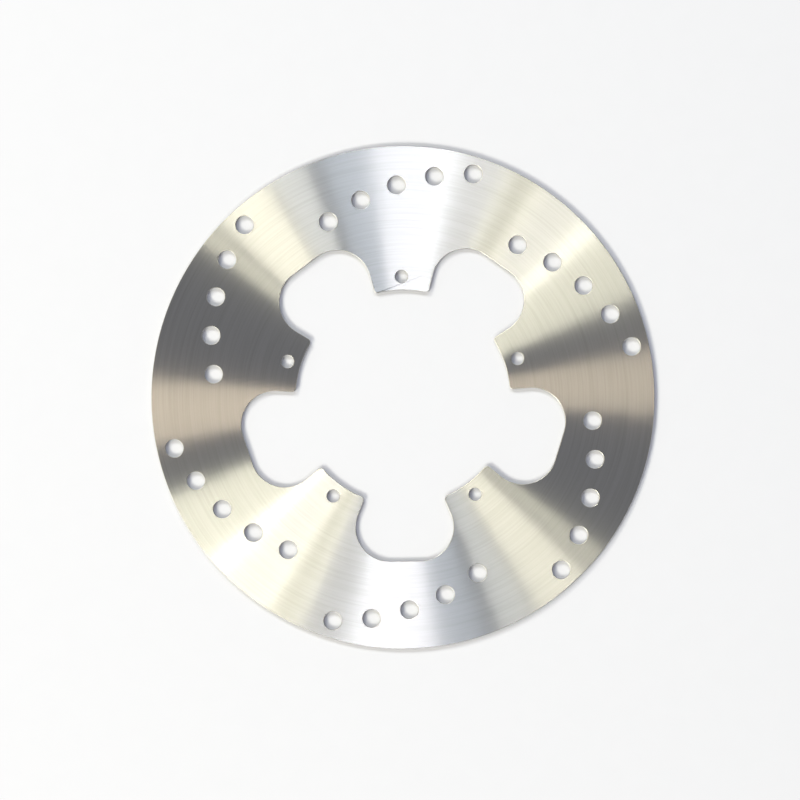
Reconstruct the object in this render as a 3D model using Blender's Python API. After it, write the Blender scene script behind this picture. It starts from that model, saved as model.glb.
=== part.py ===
"""One-piece brake disc for a motorcycle wheel, lying flat: a ground stainless plate with five mounting tabs.

Metres, +Z up. The disc's axis is the Z axis. The origin is the middle of the hub-side face, which lies on
z = 0, and the outer face is at z = THICKNESS. The first tab points along +Y.
"""

import math

import bmesh
import bpy
from mathutils import Matrix, Vector

# Plate
OUTER_RADIUS = 0.130
THICKNESS = 0.004
EDGE_CHAMFER = 0.0002

# Tabs: their tips lie on the circle that clears the wheel's hub
TAB_COUNT = 5
FIRST_TAB_ANGLE = math.radians(90)
HUB_CLEARANCE_RADIUS = 0.0555
TAB_CORNER_RADIUS = 0.002
BOLT_CIRCLE_RADIUS = 0.0625
BOLT_HOLE_RADIUS = 0.0033

# Pockets between the tabs: two lobes joined by a flat side, and a neck that narrows towards the hub
LOBE_RADIUS = 0.0175
LOBE_HALF_SPACING = 0.00775
LOBE_CENTRE_RADIUS = 0.0672
NECK_SLOPE = math.radians(22)

# Cooling holes: six curved rows, each of which runs inwards as it goes round
ROW_COUNT = 6
HOLES_PER_ROW = 5
HOLE_RADIUS = 0.0047
FIRST_ROW_ANGLE = math.radians(11.8)
OUTERMOST_HOLE_RADIUS = 0.121
INWARD_STEP = 0.0056
HOLE_SPACING = 0.0201

# Facets
RIM_STEPS = 144
LONGEST_CHORD = 0.004
FEWEST_STEPS = 4
HOLE_STEPS = 16

STEEL_COLOUR = (0.70, 0.69, 0.65, 1.0)
STEEL_ROUGHNESS = 0.32


def polar(radius, angle):
    """The point of the plane at this distance from the centre and this angle from +X."""
    return Vector((radius * math.cos(angle), radius * math.sin(angle)))


def arc(centre, radius, start, end, steps):
    """Points along an arc, both ends included. The angles are in radians, and the arc runs from start to end."""
    return [centre + polar(radius, start + (end - start) * i / steps) for i in range(steps + 1)]


def steps_for(radius, sweep):
    """How many chords keep each one under LONGEST_CHORD."""
    return max(FEWEST_STEPS, math.ceil(sweep * radius / LONGEST_CHORD))


def circle(centre, radius, steps):
    """A closed loop of points, counter-clockwise."""
    return arc(centre, radius, 0, 2 * math.pi, steps)[:-1]


def half_pocket():
    """One side of a pocket that opens towards the centre from +Y, from the tab's tip out to the flat side.

    The neck is tangent to the lobe, and the tab's corner is an arc tangent to the neck and to the hub circle.
    """
    lobe = Vector((LOBE_HALF_SPACING, LOBE_CENTRE_RADIUS))
    into_tab = polar(1, -NECK_SLOPE)
    towards_hub = Vector((-math.sin(NECK_SLOPE), -math.cos(NECK_SLOPE)))
    neck_start = lobe + into_tab * LOBE_RADIUS
    # The corner's centre is this far along the neck, where it is also TAB_CORNER_RADIUS outside the hub circle.
    offset = neck_start + into_tab * TAB_CORNER_RADIUS
    along = offset.dot(towards_hub)
    reach = (HUB_CLEARANCE_RADIUS + TAB_CORNER_RADIUS) ** 2 - offset.length_squared + along**2
    corner = offset + towards_hub * (-along - math.sqrt(reach))
    to_hub = math.atan2(-corner.y, -corner.x)
    to_neck = math.pi - NECK_SLOPE
    points = arc(corner, TAB_CORNER_RADIUS, to_hub + 2 * math.pi, to_neck, FEWEST_STEPS)
    sweep = math.pi / 2 + NECK_SLOPE
    points += arc(lobe, LOBE_RADIUS, -NECK_SLOPE, math.pi / 2, steps_for(LOBE_RADIUS, sweep))
    return points


def window():
    """The whole opening inside the disc, counter-clockwise: the pockets, and between them the tips of the tabs."""
    side = half_pocket()
    pocket = side + [Vector((-p.x, p.y)) for p in reversed(side)]
    tip_start = math.atan2(side[0].y, -side[0].x)
    tip_sweep = 2 * math.pi / TAB_COUNT - 2 * (tip_start - math.pi / 2)
    tip_steps = steps_for(HUB_CLEARANCE_RADIUS, tip_sweep)
    tip = arc(Vector((0, 0)), HUB_CLEARANCE_RADIUS, tip_start, tip_start + tip_sweep, tip_steps)
    first_pocket = FIRST_TAB_ANGLE + math.pi / TAB_COUNT - math.pi / 2
    points = []
    for i in range(TAB_COUNT):
        turn = Matrix.Rotation(first_pocket + 2 * math.pi * i / TAB_COUNT, 2)
        points += [turn @ p for p in pocket + tip[1:-1]]
    return points


def bolt_hole_centres():
    """One hole in each tab."""
    return [
        polar(BOLT_CIRCLE_RADIUS, FIRST_TAB_ANGLE + 2 * math.pi * i / TAB_COUNT)
        for i in range(TAB_COUNT)
    ]


def row_of_holes(row):
    """The centres of one row: each hole is INWARD_STEP nearer the axis and HOLE_SPACING from the one before."""
    angle = FIRST_ROW_ANGLE + 2 * math.pi * row / ROW_COUNT
    radius = OUTERMOST_HOLE_RADIUS
    centres = [polar(radius, angle)]
    for _ in range(HOLES_PER_ROW - 1):
        nearer = radius - INWARD_STEP
        cosine = (radius**2 + nearer**2 - HOLE_SPACING**2) / (2 * radius * nearer)
        angle += math.acos(cosine)
        radius = nearer
        centres.append(polar(radius, angle))
    return centres


def add_loop(outline, points):
    """Adds one closed straight-sided spline to a flat curve."""
    spline = outline.splines.new("POLY")
    spline.points.add(len(points) - 1)
    for target, point in zip(spline.points, points):
        target.co = (point.x, point.y, 0, 1)
    spline.use_cyclic_u = True


def plate_outline():
    """The disc as a filled flat curve, extruded to its thickness with a chamfer on every edge.

    The rim runs counter-clockwise and the openings clockwise, so that every chamfer leans into the metal.
    """
    outline = bpy.data.curves.new("disc_outline", "CURVE")
    outline.dimensions = "2D"
    outline.fill_mode = "BOTH"
    outline.extrude = THICKNESS / 2 - EDGE_CHAMFER
    outline.bevel_depth = EDGE_CHAMFER
    outline.bevel_resolution = 0
    outline.offset = -EDGE_CHAMFER
    centre = Vector((0, 0))
    add_loop(outline, circle(centre, OUTER_RADIUS, RIM_STEPS))
    openings = [window()]
    openings += [circle(c, BOLT_HOLE_RADIUS, HOLE_STEPS) for c in bolt_hole_centres()]
    for row in range(ROW_COUNT):
        openings += [circle(c, HOLE_RADIUS, HOLE_STEPS) for c in row_of_holes(row)]
    for points in openings:
        add_loop(outline, points[::-1])
    return outline


def mesh_of(outline, name):
    """The curve's evaluated surface as one closed mesh, standing on z = 0."""
    guide = bpy.data.objects.new(name + "_guide", outline)
    bpy.context.scene.collection.objects.link(guide)
    graph = bpy.context.evaluated_depsgraph_get()
    mesh = bpy.data.meshes.new_from_object(guide.evaluated_get(graph))
    mesh.name = name
    bpy.data.objects.remove(guide)
    shell = bmesh.new()
    shell.from_mesh(mesh)
    bmesh.ops.remove_doubles(shell, verts=shell.verts, dist=0.00001)
    bmesh.ops.recalc_face_normals(shell, faces=shell.faces)
    bmesh.ops.translate(shell, verts=shell.verts, vec=(0, 0, THICKNESS / 2))
    shell.to_mesh(mesh)
    shell.free()
    mesh.shade_smooth()
    mesh.set_sharp_from_angle(angle=math.radians(30))
    return mesh


def ground_stainless():
    """Martensitic stainless steel, ground flat."""
    material = bpy.data.materials.new("ground_stainless_steel")
    material.use_nodes = True
    shader = material.node_tree.nodes["Principled BSDF"]
    shader.inputs["Base Color"].default_value = STEEL_COLOUR
    shader.inputs["Metallic"].default_value = 1.0
    shader.inputs["Roughness"].default_value = STEEL_ROUGHNESS
    return material


def main():
    for old in list(bpy.data.objects):
        bpy.data.objects.remove(old)
    parts = bpy.data.collections.new("brake_disc_rotor")
    bpy.context.scene.collection.children.link(parts)
    mesh = mesh_of(plate_outline(), "brake_disc")
    mesh.materials.clear()
    mesh.materials.append(ground_stainless())
    parts.objects.link(bpy.data.objects.new("brake_disc", mesh))


main()
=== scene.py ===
"""Looks of a one-piece motorcycle brake disc: a finely modelled plate of ground stainless steel in a studio.

Everything is in metres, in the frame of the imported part: the disc lies flat, its axis is Z, its hub side
rests on z = 0 and its first mounting tab points along +Y.
"""

import logging
import math
from collections.abc import Iterator
from dataclasses import dataclass, field
from enum import Enum

import bpy
from mathutils import Matrix, Vector


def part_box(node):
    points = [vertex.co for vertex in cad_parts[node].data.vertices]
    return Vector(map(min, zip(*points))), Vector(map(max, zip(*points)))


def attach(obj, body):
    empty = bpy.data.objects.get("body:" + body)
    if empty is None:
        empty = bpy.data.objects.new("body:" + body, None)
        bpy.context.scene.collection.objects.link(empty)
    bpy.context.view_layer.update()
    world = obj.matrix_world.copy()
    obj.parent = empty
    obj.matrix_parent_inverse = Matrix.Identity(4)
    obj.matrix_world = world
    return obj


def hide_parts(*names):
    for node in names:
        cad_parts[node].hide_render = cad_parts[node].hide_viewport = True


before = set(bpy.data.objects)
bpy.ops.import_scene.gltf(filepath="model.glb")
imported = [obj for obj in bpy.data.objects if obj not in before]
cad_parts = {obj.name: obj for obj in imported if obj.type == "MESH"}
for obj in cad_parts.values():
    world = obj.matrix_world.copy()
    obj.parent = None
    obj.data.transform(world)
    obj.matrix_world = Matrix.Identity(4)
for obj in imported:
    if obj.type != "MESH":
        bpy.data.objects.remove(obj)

LOG = logging.getLogger("brake_disc")
CAD_NODE = "brake_disc"
CAD_BODY = "root"
MM = 0.001
FULL_TURN = 2 * math.pi
# The radius at which the length of a concentric mark is given: about the middle of the face.
MIDDLE_RADIUS = 100 * MM
# How far from its nominal radius a round wall's faces, bevels included, may lie.
WALL_DEPTH = 1 * MM
# Points closer than this are one point.
WELD_DISTANCE = 0.01 * MM
# The marks' noise is clamped to this range before it varies a roughness or a direction.
NOISE_LOW, NOISE_HIGH = 0.25, 0.75
# The darker colour fills the noise up to the first of these, and the full colour starts at the second.
SHADE_END, COLOUR_START = 0.3, 0.6


# ---------------------------------------------------------------------------------------------- small tools


def linear(hex_colour: str) -> tuple[float, float, float, float]:
    """Turns an sRGB hex colour into linear RGBA.

    Args:
        hex_colour: Six hex digits after a hash, such as "#C8C5BC".

    Returns:
        Red, green, blue and an alpha of 1, as Blender's sockets take them.
    """
    # The two branches are the sRGB standard's own curve.
    values = [int(hex_colour[i : i + 2], 16) / 255 for i in (1, 3, 5)]
    red, green, blue = [v / 12.92 if v <= 0.04045 else ((v + 0.055) / 1.055) ** 2.4 for v in values]
    return red, green, blue, 1.0


def polar(radius: float, angle: float, height: float = 0.0) -> Vector:
    """The point at this radius from the axis, angle from +X and height."""
    return Vector((radius * math.cos(angle), radius * math.sin(angle), height))


def add_node(
    tree: bpy.types.NodeTree,
    kind: str,
    settings: dict[str, object] | None = None,
    inputs: dict[int | str, object] | None = None,
) -> bpy.types.Node:
    """Adds one node with its settings and what goes into it.

    Args:
        tree: The node tree that gets the node.
        kind: The node's type name.
        settings: Attributes of the node, by name.
        inputs: Values or output sockets, by the input's name or number.

    Returns:
        The new node.
    """
    node = tree.nodes.new(kind)
    for name, value in (settings or {}).items():
        setattr(node, name, value)
    for key, value in (inputs or {}).items():
        if isinstance(value, bpy.types.NodeSocket):
            tree.links.new(value, node.inputs[key])
        else:
            node.inputs[key].default_value = value
    return node


def activate(piece: bpy.types.Object) -> None:
    """Makes this the only selected object, and the active one.

    Args:
        piece: The object.
    """
    bpy.ops.object.select_all(action="DESELECT")
    piece.select_set(True)
    bpy.context.view_layer.objects.active = piece


def apply_modifier(piece: bpy.types.Object, kind: str, **settings: object) -> None:
    """Adds a modifier to the piece, sets it up and applies it.

    Args:
        piece: The object that is changed.
        kind: The modifier's type name.
        settings: The modifier's attributes, by name.
    """
    activate(piece)
    bpy.ops.object.modifier_add(type=kind)
    modifier = piece.modifiers[-1]
    for name, value in settings.items():
        setattr(modifier, name, value)
    bpy.ops.object.modifier_apply(modifier=modifier.name)


# -------------------------------------------------------------------------------------------------- finishes


class Lay(Enum):
    """Which way a steel surface's fine tool marks run."""

    CONCENTRIC = "around the disc's axis"
    UPRIGHT = "through the thickness of the plate"
    LEVEL = "around a hole or the rim, level with the faces"


@dataclass(frozen=True)
class SteelFinish:
    """One surface of the same martensitic stainless plate, named for the tool that left it.

    Attributes:
        name: The material's name.
        colour: The metal's own reflected colour, sRGB hex.
        shade: The darker colour in the marks, sRGB hex.
        roughness: Principled roughness, midway between marks.
        roughness_spread: How far the marks take the roughness to either side.
        anisotropy: Principled anisotropy.
        lay: Which way the marks run.
        pitch_mm: Spacing of the marks.
        mark_arc_mm: How long one mark runs before it fades.
        depth_mm: Height of the marks in the bump.
        wander: How far a mark strays from its lay, as a slope.
        ring_share: Share of the light that the sides of the marks mirror, as a second, much narrower lobe.
        ring_roughness: Roughness of that lobe.
        ring_anisotropy: How much narrower it is along the marks.
    """

    name: str
    colour: str
    shade: str
    roughness: float
    roughness_spread: float
    anisotropy: float
    lay: Lay
    pitch_mm: float
    mark_arc_mm: float
    depth_mm: float
    wander: float = 0.0
    ring_share: float = 0.0
    ring_roughness: float = 0.27
    ring_anisotropy: float = 0.85

    def material(self) -> bpy.types.Material:
        """Builds the finish as a node material.

        Returns:
            The material.
        """
        made = bpy.data.materials.new(self.name)
        made.use_nodes = True
        tree = made.node_tree
        shader = tree.nodes["Principled BSDF"]
        shader.inputs["Metallic"].default_value = 1.0
        shader.inputs["Anisotropic"].default_value = self.anisotropy
        outward, around, marks_at = self._directions(tree)
        marks = add_node(
            tree,
            "ShaderNodeTexNoise",
            {"noise_dimensions": "3D"},
            {"Vector": marks_at, "Scale": 1.0, "Detail": 3.0, "Roughness": 0.65},
        ).outputs["Fac"]
        self._colour(tree, shader, marks)
        self._gloss(tree, shader, marks)
        if self.lay is Lay.CONCENTRIC:
            across_marks = self._strayed(tree, outward, around, marks)
            tree.links.new(across_marks, shader.inputs["Tangent"])
            self._ring_lobe(tree, shader, across_marks)
        return made

    def _directions(
        self, tree: bpy.types.NodeTree
    ) -> tuple[bpy.types.NodeSocket, bpy.types.NodeSocket, bpy.types.NodeSocket]:
        """Works out the disc's own directions at each point.

        Args:
            tree: The material's node tree.

        Returns:
            The unit vector away from the axis, the unit vector around it, and the place at which the marks'
            noise is read: slow along a mark and quick across it.
        """
        place = add_node(tree, "ShaderNodeTexCoord").outputs["Object"]
        flat = add_node(
            tree, "ShaderNodeVectorMath", {"operation": "MULTIPLY"}, {0: place, 1: (1, 1, 0)}
        ).outputs[0]
        outward = add_node(tree, "ShaderNodeVectorMath", {"operation": "NORMALIZE"}, {0: flat}).outputs[0]
        around = add_node(
            tree, "ShaderNodeVectorMath", {"operation": "CROSS_PRODUCT"}, {0: (0, 0, 1), 1: outward}
        ).outputs[0]
        across = 1 / (self.pitch_mm * MM)
        along = 1 / (self.mark_arc_mm * MM)
        if self.lay is Lay.CONCENTRIC:
            radius = add_node(
                tree, "ShaderNodeVectorMath", {"operation": "LENGTH"}, {0: flat}
            ).outputs["Value"]
            turns = add_node(
                tree,
                "ShaderNodeVectorMath",
                {"operation": "SCALE"},
                {0: outward, "Scale": MIDDLE_RADIUS * along},
            ).outputs[0]
            rings = add_node(
                tree, "ShaderNodeMath", {"operation": "MULTIPLY"}, {0: radius, 1: across}
            ).outputs[0]
            lift = add_node(tree, "ShaderNodeCombineXYZ", inputs={"Z": rings}).outputs[0]
            marks_at = add_node(
                tree, "ShaderNodeVectorMath", {"operation": "ADD"}, {0: turns, 1: lift}
            ).outputs[0]
        else:
            stretch = (across, across, along) if self.lay is Lay.UPRIGHT else (along, along, across)
            marks_at = add_node(
                tree, "ShaderNodeVectorMath", {"operation": "MULTIPLY"}, {0: place, 1: stretch}
            ).outputs[0]
        return outward, around, marks_at

    def _colour(
        self, tree: bpy.types.NodeTree, shader: bpy.types.Node, marks: bpy.types.NodeSocket
    ) -> None:
        """Darkens the metal a little inside its marks.

        Args:
            tree: The material's node tree.
            shader: The Principled shader.
            marks: The marks' noise.
        """
        ramp = add_node(tree, "ShaderNodeValToRGB", inputs={"Fac": marks})
        ramp.color_ramp.elements[0].position = SHADE_END
        ramp.color_ramp.elements[0].color = linear(self.shade)
        ramp.color_ramp.elements[1].position = COLOUR_START
        ramp.color_ramp.elements[1].color = linear(self.colour)
        tree.links.new(ramp.outputs["Color"], shader.inputs["Base Color"])

    def _gloss(
        self, tree: bpy.types.NodeTree, shader: bpy.types.Node, marks: bpy.types.NodeSocket
    ) -> None:
        """Varies the roughness with the marks, and raises them in the bump.

        Args:
            tree: The material's node tree.
            shader: The Principled shader.
            marks: The marks' noise.
        """
        rough = add_node(
            tree,
            "ShaderNodeMapRange",
            inputs={
                "Value": marks,
                "From Min": NOISE_LOW,
                "From Max": NOISE_HIGH,
                "To Min": self.roughness + self.roughness_spread,
                "To Max": self.roughness - self.roughness_spread,
            },
        )
        tree.links.new(rough.outputs["Result"], shader.inputs["Roughness"])
        bump = add_node(
            tree,
            "ShaderNodeBump",
            inputs={"Height": marks, "Strength": 1.0, "Distance": self.depth_mm * MM},
        )
        tree.links.new(bump.outputs["Normal"], shader.inputs["Normal"])

    def _strayed(
        self,
        tree: bpy.types.NodeTree,
        outward: bpy.types.NodeSocket,
        around: bpy.types.NodeSocket,
        marks: bpy.types.NodeSocket,
    ) -> bpy.types.NodeSocket:
        """Turns the outward direction a little, by a different amount from ring to ring.

        Args:
            tree: The material's node tree.
            outward: The direction away from the axis.
            around: The direction around it.
            marks: The marks' noise.

        Returns:
            The direction square to the marks.
        """
        stray = add_node(
            tree,
            "ShaderNodeMapRange",
            inputs={
                "Value": marks,
                "From Min": NOISE_LOW,
                "From Max": NOISE_HIGH,
                "To Min": -self.wander,
                "To Max": self.wander,
            },
        ).outputs["Result"]
        sideways = add_node(
            tree, "ShaderNodeVectorMath", {"operation": "SCALE"}, {0: around, "Scale": stray}
        ).outputs[0]
        return add_node(
            tree, "ShaderNodeVectorMath", {"operation": "ADD"}, {0: outward, 1: sideways}
        ).outputs[0]

    def _ring_lobe(
        self, tree: bpy.types.NodeTree, shader: bpy.types.Node, across_marks: bpy.types.NodeSocket
    ) -> None:
        """Mixes in the sharp lobe that the sides of the ring marks mirror.

        Args:
            tree: The material's node tree.
            shader: The Principled shader of the steel itself.
            across_marks: The direction square to the marks.
        """
        rings = add_node(
            tree,
            "ShaderNodeBsdfAnisotropic",
            {"distribution": "GGX"},
            {
                "Color": shader.inputs["Base Color"].links[0].from_socket,
                "Roughness": self.ring_roughness,
                "Anisotropy": -self.ring_anisotropy,
                "Normal": shader.inputs["Normal"].links[0].from_socket,
                "Tangent": across_marks,
            },
        )
        mixed = add_node(
            tree,
            "ShaderNodeMixShader",
            inputs={0: self.ring_share, 1: shader.outputs[0], 2: rings.outputs[0]},
        )
        tree.links.new(mixed.outputs[0], tree.nodes["Material Output"].inputs["Surface"])


# Rotary-ground stainless: the grinding wheel leaves fine rings, so each light spreads into a soft-edged band
# that points at the axis, and fine bright and dark threads run round the face. Real marks are 0.05 to 0.3 mm
# apart. They are drawn at 0.9 mm so that they show.
GROUND_FACE = SteelFinish(
    name="stainless_steel_rotary_ground",
    colour="#DDDCDA",
    shade="#D2D1CE",
    roughness=0.30,
    roughness_spread=0.02,
    anisotropy=1.0,
    ring_share=0.7,
    lay=Lay.CONCENTRIC,
    pitch_mm=0.9,
    mark_arc_mm=60.0,
    depth_mm=0.002,
    wander=0.012,
)
# Deburred edge: a hair-thin satin bevel that catches light from all sides.
BROKEN_EDGE = SteelFinish(
    name="stainless_steel_deburred_edge",
    colour="#C9C8C4",
    shade="#A9A8A3",
    roughness=0.34,
    roughness_spread=0.05,
    anisotropy=0.0,
    lay=Lay.LEVEL,
    pitch_mm=0.3,
    mark_arc_mm=8.0,
    depth_mm=0.004,
)
# Laser-cut wall: dull grey, with upright striations through the plate.
CUT_WALL = SteelFinish(
    name="stainless_steel_laser_cut",
    colour="#A3A19C",
    shade="#6F6D69",
    roughness=0.48,
    roughness_spread=0.08,
    anisotropy=0.0,
    lay=Lay.UPRIGHT,
    pitch_mm=0.35,
    mark_arc_mm=6.0,
    depth_mm=0.02,
)
# Turned rim: satin, with level tool rings.
TURNED_RIM = SteelFinish(
    name="stainless_steel_turned_rim",
    colour="#B9B8B4",
    shade="#8E8D89",
    roughness=0.38,
    roughness_spread=0.06,
    anisotropy=0.0,
    lay=Lay.LEVEL,
    pitch_mm=0.3,
    mark_arc_mm=40.0,
    depth_mm=0.006,
)
# Drilled bore: level rings from the drill's lips, duller and darker than the ground face.
DRILLED_BORE = SteelFinish(
    name="stainless_steel_drilled",
    colour="#A9A8A4",
    shade="#716F6B",
    roughness=0.42,
    roughness_spread=0.06,
    anisotropy=0.0,
    lay=Lay.LEVEL,
    pitch_mm=0.25,
    mark_arc_mm=10.0,
    depth_mm=0.008,
)


@dataclass(frozen=True)
class MattBoard:
    """Board painted matt white: a plain surface with no gloss and a faint fibre mottle.

    Attributes:
        name: The material's name.
        colour: The paint, sRGB hex.
        shade: The paint where the board's fibres show through, sRGB hex.
        fibre_mm: Size of the mottle.
        roughness: Principled roughness.
        specular: Principled specular level, low because the paint is chalky.
    """

    name: str = "painted_board_matt"
    colour: str = "#EAECF6"
    shade: str = "#E8EAF4"
    fibre_mm: float = 12.0
    roughness: float = 0.9
    specular: float = 0.1

    def material(self) -> bpy.types.Material:
        """Builds the board's paint.

        Returns:
            The material.
        """
        made = bpy.data.materials.new(self.name)
        made.use_nodes = True
        tree = made.node_tree
        shader = tree.nodes["Principled BSDF"]
        shader.inputs["Roughness"].default_value = self.roughness
        shader.inputs["Specular IOR Level"].default_value = self.specular
        place = add_node(tree, "ShaderNodeTexCoord").outputs["Object"]
        mottle = add_node(
            tree, "ShaderNodeTexNoise", inputs={"Vector": place, "Scale": 1 / (self.fibre_mm * MM)}
        ).outputs["Fac"]
        ramp = add_node(tree, "ShaderNodeValToRGB", inputs={"Fac": mottle})
        ramp.color_ramp.elements[0].color = linear(self.shade)
        ramp.color_ramp.elements[1].color = linear(self.colour)
        tree.links.new(ramp.outputs["Color"], shader.inputs["Base Color"])
        return made


# ---------------------------------------------------------------------------------------------------- pieces


class OutlinePen:
    """Draws a flat outline in edit mode from one vertex, by spins and extrusions."""

    def __init__(self, name: str, start: Vector) -> None:
        """Starts an object that holds a single vertex, in edit mode.

        Args:
            name: The object's name.
            start: Where the outline starts.
        """
        bpy.ops.object.select_all(action="DESELECT")
        bpy.ops.mesh.primitive_plane_add(size=MM, location=(0, 0, 0))
        self.piece = bpy.context.object
        self.piece.name = name
        self.at = start.copy()
        bpy.ops.object.mode_set(mode="EDIT")
        bpy.ops.mesh.select_mode(type="VERT")
        bpy.ops.mesh.select_all(action="SELECT")
        bpy.ops.mesh.merge(type="CENTER")
        bpy.ops.transform.translate(value=start)

    def line(self, end: Vector) -> None:
        """Draws a straight line to this point."""
        bpy.ops.mesh.extrude_region_move(TRANSFORM_OT_translate={"value": end - self.at})
        self.at = end.copy()

    def arc(self, centre: Vector, sweep: float, steps: int) -> None:
        """Draws an arc about a centre.

        Args:
            centre: The arc's centre.
            sweep: Its angle in radians, counter-clockwise if positive.
            steps: How many chords it takes.
        """
        bpy.ops.mesh.spin(steps=steps, angle=-sweep, center=centre, axis=(0, 0, 1))
        self.at = centre + Matrix.Rotation(sweep, 3, "Z") @ (self.at - centre)

    def repeat(self, count: int) -> None:
        """Copies the whole outline round the axis, and joins the copies end to end.

        Args:
            count: How many outlines there are in the end.
        """
        bpy.ops.mesh.select_all(action="SELECT")
        bpy.ops.mesh.spin(
            steps=count - 1,
            dupli=True,
            angle=FULL_TURN * (count - 1) / count,
            center=(0, 0, 0),
            axis=(0, 0, 1),
        )
        bpy.ops.mesh.select_all(action="SELECT")
        bpy.ops.mesh.remove_doubles(threshold=WELD_DISTANCE)

    def raise_solid(self, low: float, high: float) -> bpy.types.Object:
        """Fills the outline and extrudes it.

        Args:
            low: Height of the underside.
            high: Height of the top.

        Returns:
            The closed solid, in object mode.
        """
        bpy.ops.mesh.select_all(action="SELECT")
        bpy.ops.mesh.edge_face_add()
        bpy.ops.transform.translate(value=(0, 0, low))
        bpy.ops.mesh.extrude_region_move(TRANSFORM_OT_translate={"value": (0, 0, high - low)})
        bpy.ops.mesh.select_all(action="SELECT")
        bpy.ops.mesh.normals_make_consistent(inside=False)
        bpy.ops.object.mode_set(mode="OBJECT")
        return self.piece


@dataclass
class TabWindow:
    """The opening inside the disc: five rounded pockets, and between them the tabs that carry the bolts.

    Attributes:
        count: How many tabs, and so how many pockets.
        first_tab: Angle of the first tab from +X.
        hub_radius: The circle on which the tabs' tips lie.
        corner_radius: Rounding of a tab's corners.
        lobe_radius: Radius of a pocket's two lobes.
        lobe_half_spacing: Half the distance between them.
        lobe_centre_radius: How far out they lie.
        neck_slope: How steeply a pocket narrows towards the hub.
        lobe_steps: How many facets go round a lobe.
        corner_steps: How many go round a tab's corner.
        tip_steps: How many go along half of a tab's tip.
    """

    count: int = 5
    first_tab: float = math.radians(90)
    hub_radius: float = 55.5 * MM
    corner_radius: float = 2.0 * MM
    lobe_radius: float = 17.5 * MM
    lobe_half_spacing: float = 7.75 * MM
    lobe_centre_radius: float = 67.2 * MM
    neck_slope: float = math.radians(22)
    lobe_steps: int = 44
    corner_steps: int = 12
    tip_steps: int = 12

    def cutter(self, low: float, high: float) -> bpy.types.Object:
        """Makes the solid that takes the window out of the plate.

        Args:
            low: Height of its underside.
            high: Height of its top.

        Returns:
            The cutter.
        """
        half_share = math.pi / self.count
        middle = self.first_tab + half_share
        turn = Matrix.Rotation(middle - math.pi / 2, 3, "Z")
        lobe, corner, neck_start, neck_end = self._right_side()
        left_lobe, left_corner = self._mirrored(lobe), self._mirrored(corner)
        to_hub = math.atan2(-corner.y, -corner.x) % FULL_TURN
        corner_sweep = to_hub - (math.pi - self.neck_slope)
        tip_sweep = to_hub - math.pi - (math.pi / 2 - half_share)
        lobe_sweep = math.pi / 2 + self.neck_slope
        pen = OutlinePen("window_cutter", turn @ polar(self.hub_radius, math.pi / 2 - half_share))
        pen.arc(Vector((0, 0, 0)), tip_sweep, self.tip_steps)
        pen.arc(turn @ corner, -corner_sweep, self.corner_steps)
        pen.line(turn @ neck_start)
        pen.arc(turn @ lobe, lobe_sweep, self.lobe_steps)
        pen.line(turn @ Vector((left_lobe.x, left_lobe.y + self.lobe_radius, 0)))
        pen.arc(turn @ left_lobe, lobe_sweep, self.lobe_steps)
        pen.line(turn @ self._mirrored(neck_end))
        pen.arc(turn @ left_corner, -corner_sweep, self.corner_steps)
        pen.arc(Vector((0, 0, 0)), tip_sweep, self.tip_steps)
        pen.repeat(self.count)
        return pen.raise_solid(low, high)

    def _right_side(self) -> tuple[Vector, Vector, Vector, Vector]:
        """Places the right half of a pocket that opens towards the axis from +Y.

        Returns:
            The lobe's centre, the centre of the tab corner's rounding, the end of the neck at the lobe and
            its end at the corner. The neck is tangent to both.
        """
        lobe = Vector((self.lobe_half_spacing, self.lobe_centre_radius, 0))
        into_tab = polar(1, -self.neck_slope)
        inwards = polar(1, -self.neck_slope - math.pi / 2)
        neck_start = lobe + into_tab * self.lobe_radius
        offset = neck_start + into_tab * self.corner_radius
        along = offset.dot(inwards)
        reach = (self.hub_radius + self.corner_radius) ** 2 - offset.length_squared + along**2
        corner = offset + inwards * (-along - math.sqrt(reach))
        return lobe, corner, neck_start, corner - into_tab * self.corner_radius

    @staticmethod
    def _mirrored(point: Vector) -> Vector:
        """The point on the other side of the pocket's middle line."""
        return Vector((-point.x, point.y, point.z))


@dataclass
class RoundHoles:
    """A set of equal holes drilled straight through the plate.

    Attributes:
        name: What the holes are for.
        radius: Radius of each.
        centres: Where they are.
        steps: How many facets go round one.
    """

    name: str
    radius: float
    centres: list[Vector]
    steps: int = 64

    def cutter(self, low: float, high: float) -> bpy.types.Object:
        """Makes one drill and a copy of it at each further hole, and joins them.

        Args:
            low: Height of the drills' tips.
            high: Height of their tops.

        Returns:
            One object that holds all the drills.
        """
        bpy.ops.object.select_all(action="DESELECT")
        bpy.ops.mesh.primitive_cylinder_add(
            vertices=self.steps,
            radius=self.radius,
            depth=high - low,
            location=self.centres[0] + Vector((0, 0, (low + high) / 2)),
        )
        drill = bpy.context.object
        drill.name = self.name
        bpy.ops.object.transform_apply(location=True, rotation=True, scale=True)
        bpy.ops.object.mode_set(mode="EDIT")
        for earlier, centre in zip(self.centres, self.centres[1:]):
            bpy.ops.mesh.duplicate_move(TRANSFORM_OT_translate={"value": centre - earlier})
        bpy.ops.object.mode_set(mode="OBJECT")
        return drill

    def wall_at(self, point: Vector) -> bool:
        """Whether this point is on the wall or the bevel of one of the holes."""
        reach = self.radius + WALL_DEPTH
        return any((point.xy - centre.xy).length < reach for centre in self.centres)


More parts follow.
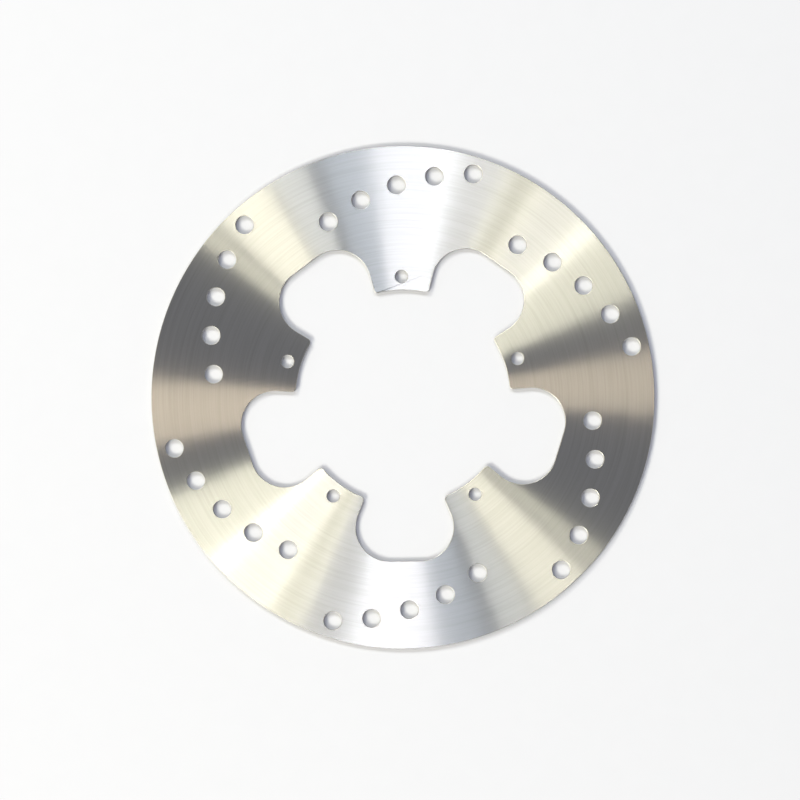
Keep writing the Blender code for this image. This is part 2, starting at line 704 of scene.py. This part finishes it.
@dataclass(frozen=True)
class BoltCircle:
    """One plain bolt hole in each tab.

    Attributes:
        radius: Radius of the circle on which the holes lie.
        hole_radius: Radius of each hole.
        steps: How many facets go round one.
    """

    radius: float = 62.5 * MM
    hole_radius: float = 3.3 * MM
    steps: int = 48

    def holes(self, window: TabWindow) -> RoundHoles:
        """Places the holes.

        Args:
            window: The window, which says where the tabs are.

        Returns:
            The bolt holes.
        """
        angles = [window.first_tab + FULL_TURN * i / window.count for i in range(window.count)]
        centres = [polar(self.radius, angle) for angle in angles]
        return RoundHoles("bolt_holes", self.hole_radius, centres, self.steps)


@dataclass(frozen=True)
class CoolingRows:
    """Curved rows of cooling holes: each hole is one step further in and one spacing further round.

    Attributes:
        rows: How many rows.
        holes_per_row: How many holes in each.
        hole_radius: Radius of each hole.
        first_row: Angle of the first row's outermost hole from +X.
        outermost: How far out that hole is.
        inward_step: How much nearer the axis the next hole is.
        spacing: How far apart the two are.
    """

    rows: int = 6
    holes_per_row: int = 5
    hole_radius: float = 4.7 * MM
    first_row: float = math.radians(11.8)
    outermost: float = 121.0 * MM
    inward_step: float = 5.6 * MM
    spacing: float = 20.1 * MM

    def _row(self, start: float) -> Iterator[Vector]:
        """Places one row.

        Args:
            start: Angle of its outermost hole.

        Yields:
            The holes' centres, from the outermost inwards.
        """
        radius, angle = self.outermost, start
        yield polar(radius, angle)
        for _ in range(self.holes_per_row - 1):
            nearer = radius - self.inward_step
            cosine = (radius**2 + nearer**2 - self.spacing**2) / (2 * radius * nearer)
            angle += math.acos(cosine)
            radius = nearer
            yield polar(radius, angle)

    def holes(self) -> RoundHoles:
        """All the rows together.

        Returns:
            The cooling holes.
        """
        starts = [self.first_row + FULL_TURN * i / self.rows for i in range(self.rows)]
        centres = [centre for start in starts for centre in self._row(start)]
        return RoundHoles("cooling_holes", self.hole_radius, centres)


@dataclass
class BrakeDisc:
    """The disc itself: a turned blank with its window cut, its holes drilled and its edges broken.

    Attributes:
        low: The CAD node's lowest corner.
        high: Its highest corner.
        window: The opening inside it.
        bolts: The circle of bolt holes.
        cooling: The rows of cooling holes.
        edge_break: Width of the bevel on every edge.
        edge_angle: Edges that turn by more than this are broken.
        smooth_angle: Edges that turn by less than this are shaded smooth.
        rim_steps: How many facets go round the rim.
    """

    low: Vector
    high: Vector
    window: TabWindow = field(default_factory=TabWindow)
    bolts: BoltCircle = BoltCircle()
    cooling: CoolingRows = CoolingRows()
    edge_break: float = 0.2 * MM
    edge_angle: float = math.radians(60)
    smooth_angle: float = math.radians(20)
    rim_steps: int = 480

    @property
    def radius(self) -> float:
        """The rim's radius."""
        return self.high.x

    def build(self) -> bpy.types.Object:
        """Models the disc and dresses it.

        Returns:
            The finished piece, at the origin.
        """
        piece = self._blank()
        LOG.info("%s turned", piece.name)
        spare = 5 * MM
        low, high = self.low.z - spare, self.high.z + spare
        holes = [self.bolts.holes(self.window), self.cooling.holes()]
        for opening in (self.window, *holes):
            cutter = opening.cutter(low, high)
            apply_modifier(piece, "BOOLEAN", operation="DIFFERENCE", solver="MANIFOLD", object=cutter)
            LOG.info("%s cut", cutter.name)
            bpy.data.objects.remove(cutter)
        apply_modifier(
            piece,
            "BEVEL",
            width=self.edge_break,
            segments=2,
            limit_method="ANGLE",
            angle_limit=self.edge_angle,
            use_clamp_overlap=False,
        )
        activate(piece)
        bpy.ops.object.shade_smooth_by_angle(angle=self.smooth_angle)
        self._dress(piece, holes)
        return piece

    def _blank(self) -> bpy.types.Object:
        """Makes the plain round plate.

        Returns:
            The plate, at the origin.
        """
        bpy.ops.object.select_all(action="DESELECT")
        bpy.ops.mesh.primitive_cylinder_add(
            vertices=self.rim_steps,
            radius=self.radius,
            depth=self.high.z - self.low.z,
            location=(0, 0, (self.low.z + self.high.z) / 2),
        )
        blank = bpy.context.object
        blank.name = "disc_plate"
        bpy.ops.object.transform_apply(location=True, rotation=True, scale=True)
        return blank

    def _dress(self, piece: bpy.types.Object, holes: list[RoundHoles]) -> None:
        """Gives each face the finish of the tool that made it.

        Args:
            piece: The modelled disc.
            holes: Its drilled holes.
        """
        finishes = [GROUND_FACE, BROKEN_EDGE, CUT_WALL, TURNED_RIM, DRILLED_BORE]
        piece.data.materials.clear()
        for finish in finishes:
            piece.data.materials.append(finish.material())
        for face in piece.data.polygons:
            face.material_index = finishes.index(self._finish_of(face.normal, face.center, holes))

    def _finish_of(self, normal: Vector, place: Vector, holes: list[RoundHoles]) -> SteelFinish:
        """Which tool made a face.

        Args:
            normal: The face's normal.
            place: Its middle.
            holes: The drilled holes.

        Returns:
            The finish.
        """
        # How far up or down a normal points: above the first on a plate face, above the second on a bevel.
        flat, upright = 0.98, 0.1
        if abs(normal.z) > flat:
            return GROUND_FACE
        if abs(normal.z) > upright:
            return BROKEN_EDGE
        if place.xy.length > self.radius - WALL_DEPTH:
            return TURNED_RIM
        if any(group.wall_at(place) for group in holes):
            return DRILLED_BORE
        return CUT_WALL


# ---------------------------------------------------------------------------------------------------- studio


@dataclass(frozen=True)
class Softbox:
    """A soft lamp that faces the disc.

    Attributes:
        name: What it is in the studio.
        azimuth: Its direction round the disc from +X, in degrees.
        zenith: How far it is from straight overhead, in degrees.
        width: Its size round the disc, in metres.
        height: Its size towards the zenith, in metres.
        tint: The colour of its light, sRGB hex.
        power: Its power in watts.
        distance: How far it is from the disc, in metres.
    """

    name: str
    azimuth: float
    zenith: float
    width: float
    height: float
    tint: str
    power: float
    distance: float = 4.0

    def place(self) -> bpy.types.Object:
        """Adds the lamp.

        Returns:
            The lamp's object.
        """
        lean = math.radians(self.zenith)
        position = polar(math.sin(lean), math.radians(self.azimuth), math.cos(lean)) * self.distance
        bpy.ops.object.light_add(type="AREA", location=position)
        lamp = bpy.context.object
        lamp.name = self.name
        lamp.rotation_euler = (0, lean, math.radians(self.azimuth))
        lamp.data.shape = "RECTANGLE"
        lamp.data.size = self.height
        lamp.data.size_y = self.width
        lamp.data.color = linear(self.tint)[:3]
        lamp.data.energy = self.power
        return lamp


# All the lamps but the top and the bottom ones stand on the left, so the holes' shadows are on that side.
# How many there are, their zeniths and their heights were chosen. The azimuths, widths, tints and
# powers weren't chosen by hand: a least-squares fit worked them out. Since then the azimuths were turned
# back by the camera's roll, three powers were rounded, and the top lamp's tint and power were changed.
SOFTBOXES = [
    Softbox("left_wall", 182.6, 36, 0.62, 0.9, "#FFECCE", 15.8),
    Softbox("low_left_key", 212.7, 36, 0.85, 0.9, "#FFFCE3", 34.5),
    Softbox("low_left_side", 228.0, 36, 0.71, 0.9, "#FFFCED", 34.0),
    Softbox("low_left_end", 240.3, 36, 0.41, 0.9, "#FFFBDE", 13.0),
    Softbox("high_left_edge", 139.6, 36, 0.18, 0.8, "#FFFBE0", 5.5),
    Softbox("high_left", 128.7, 36, 0.57, 0.8, "#FFFBE4", 28.0),
    Softbox("high_left_strip", 116.4, 36, 0.36, 0.8, "#FDFFFA", 11.0),
    Softbox("top", 92.5, 26, 1.03, 0.6, "#E7F2FF", 18.4),
    Softbox("top_strip", 71.4, 26, 0.47, 0.6, "#FFFFFC", 10.8),
    Softbox("bottom", 267.5, 26, 0.58, 0.6, "#FFFAFB", 15.1),
]


@dataclass(frozen=True)
class Studio:
    """A plain pale floor under soft lamps, with an even fill from all round.

    Attributes:
        floor_size: The floor's side.
        board: What it is made of.
        fill: The colour of the fill, sRGB hex.
        fill_strength: Its radiance.
    """

    floor_size: float = 24.0
    board: MattBoard = MattBoard()
    fill: str = "#F6F8FF"
    fill_strength: float = 0.23

    def build(self, floor_height: float) -> None:
        """Makes the floor, the fill and the lamps.

        Args:
            floor_height: Where the disc rests.
        """
        bpy.ops.object.select_all(action="DESELECT")
        bpy.ops.mesh.primitive_plane_add(size=self.floor_size, location=(0, 0, floor_height))
        floor = bpy.context.object
        floor.name = "studio_floor"
        bpy.ops.object.transform_apply(location=True, rotation=True, scale=True)
        floor.data.materials.append(self.board.material())
        world = bpy.data.worlds.new("studio_fill")
        world.use_nodes = True
        background = world.node_tree.nodes["Background"]
        background.inputs["Color"].default_value = linear(self.fill)
        background.inputs["Strength"].default_value = self.fill_strength
        bpy.context.scene.world = world
        for softbox in SOFTBOXES:
            softbox.place()
            LOG.info("softbox %s at azimuth %.0f", softbox.name, softbox.azimuth)


@dataclass(frozen=True)
class OverheadCamera:
    """A camera straight above the disc, square to its face.

    Attributes:
        lens: Focal length in millimetres.
        disc_share: The disc's diameter as a share of the picture's side.
        disc_offset: How far right and up the disc's middle is from the picture's, in shares of its side.
        roll: How far the disc is turned in the picture, in degrees counter-clockwise.
    """

    lens: float = 200.0
    disc_share: float = 0.629
    disc_offset: tuple[float, float] = (0.0037, 0.0033)
    roll: float = 0.75

    def build(self, diameter: float, face_height: float) -> None:
        """Adds the camera and makes it the scene's.

        Args:
            diameter: The disc's diameter.
            face_height: Height of the face that the camera sees.
        """
        picture = diameter / self.disc_share
        turn = math.radians(-self.roll)
        shift = Matrix.Rotation(turn, 2) @ Vector(self.disc_offset) * -picture
        data = bpy.data.cameras.new("overhead_camera")
        data.lens = self.lens
        camera = bpy.data.objects.new("overhead_camera", data)
        camera.location = (shift.x, shift.y, face_height + picture * self.lens / data.sensor_width)
        camera.rotation_euler = (0, 0, turn)
        bpy.context.scene.collection.objects.link(camera)
        bpy.context.scene.camera = camera


# ------------------------------------------------------------------------------------------------------ main


def main() -> None:
    """Builds the disc and its studio."""
    logging.basicConfig(level=logging.INFO, format="%(name)s: %(message)s")
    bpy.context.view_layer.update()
    low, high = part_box(CAD_NODE)
    OverheadCamera().build(high.x - low.x, high.z)
    disc = BrakeDisc(low, high)
    piece = disc.build()
    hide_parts(CAD_NODE)
    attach(piece, CAD_BODY)
    LOG.info("%s done: %d faces", piece.name, len(piece.data.polygons))
    Studio().build(low.z)
    bpy.context.scene.view_settings.view_transform = "Standard"


if __name__ == "__main__":
    main()
